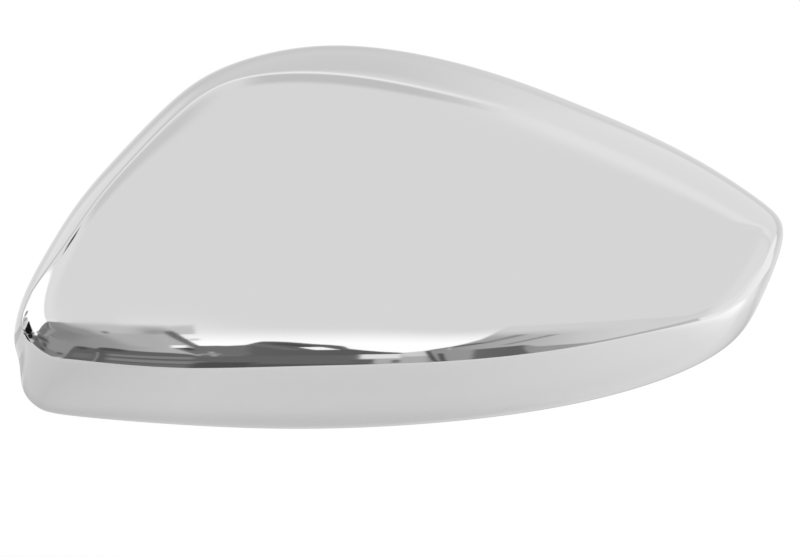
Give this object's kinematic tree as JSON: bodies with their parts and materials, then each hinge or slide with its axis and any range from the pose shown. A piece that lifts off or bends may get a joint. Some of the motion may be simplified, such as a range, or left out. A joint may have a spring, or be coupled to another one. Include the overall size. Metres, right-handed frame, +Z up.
{
  "type": "wing mirror cover",
  "caption": "Chrome-plated clip-on cover for a car's wing mirror: a crowned face rolls over into a deep side band, with pins, ribs and clips inside.",
  "frame": {"origin": "centre of the main locating pin, at its seat", "axes": "+X along the cover to the right as seen from the front, +Z up on the car, +Y from the face to the open back, along the pins"},
  "size_m": [0.236, 0.0586, 0.118],
  "materials": {
    "chrome_plating": "mirror-bright chrome plating on a moulded plastic shell"
  },
  "bodies": {
    "root": {"cover": "chrome_plating"}
  },
  "joints": []
}
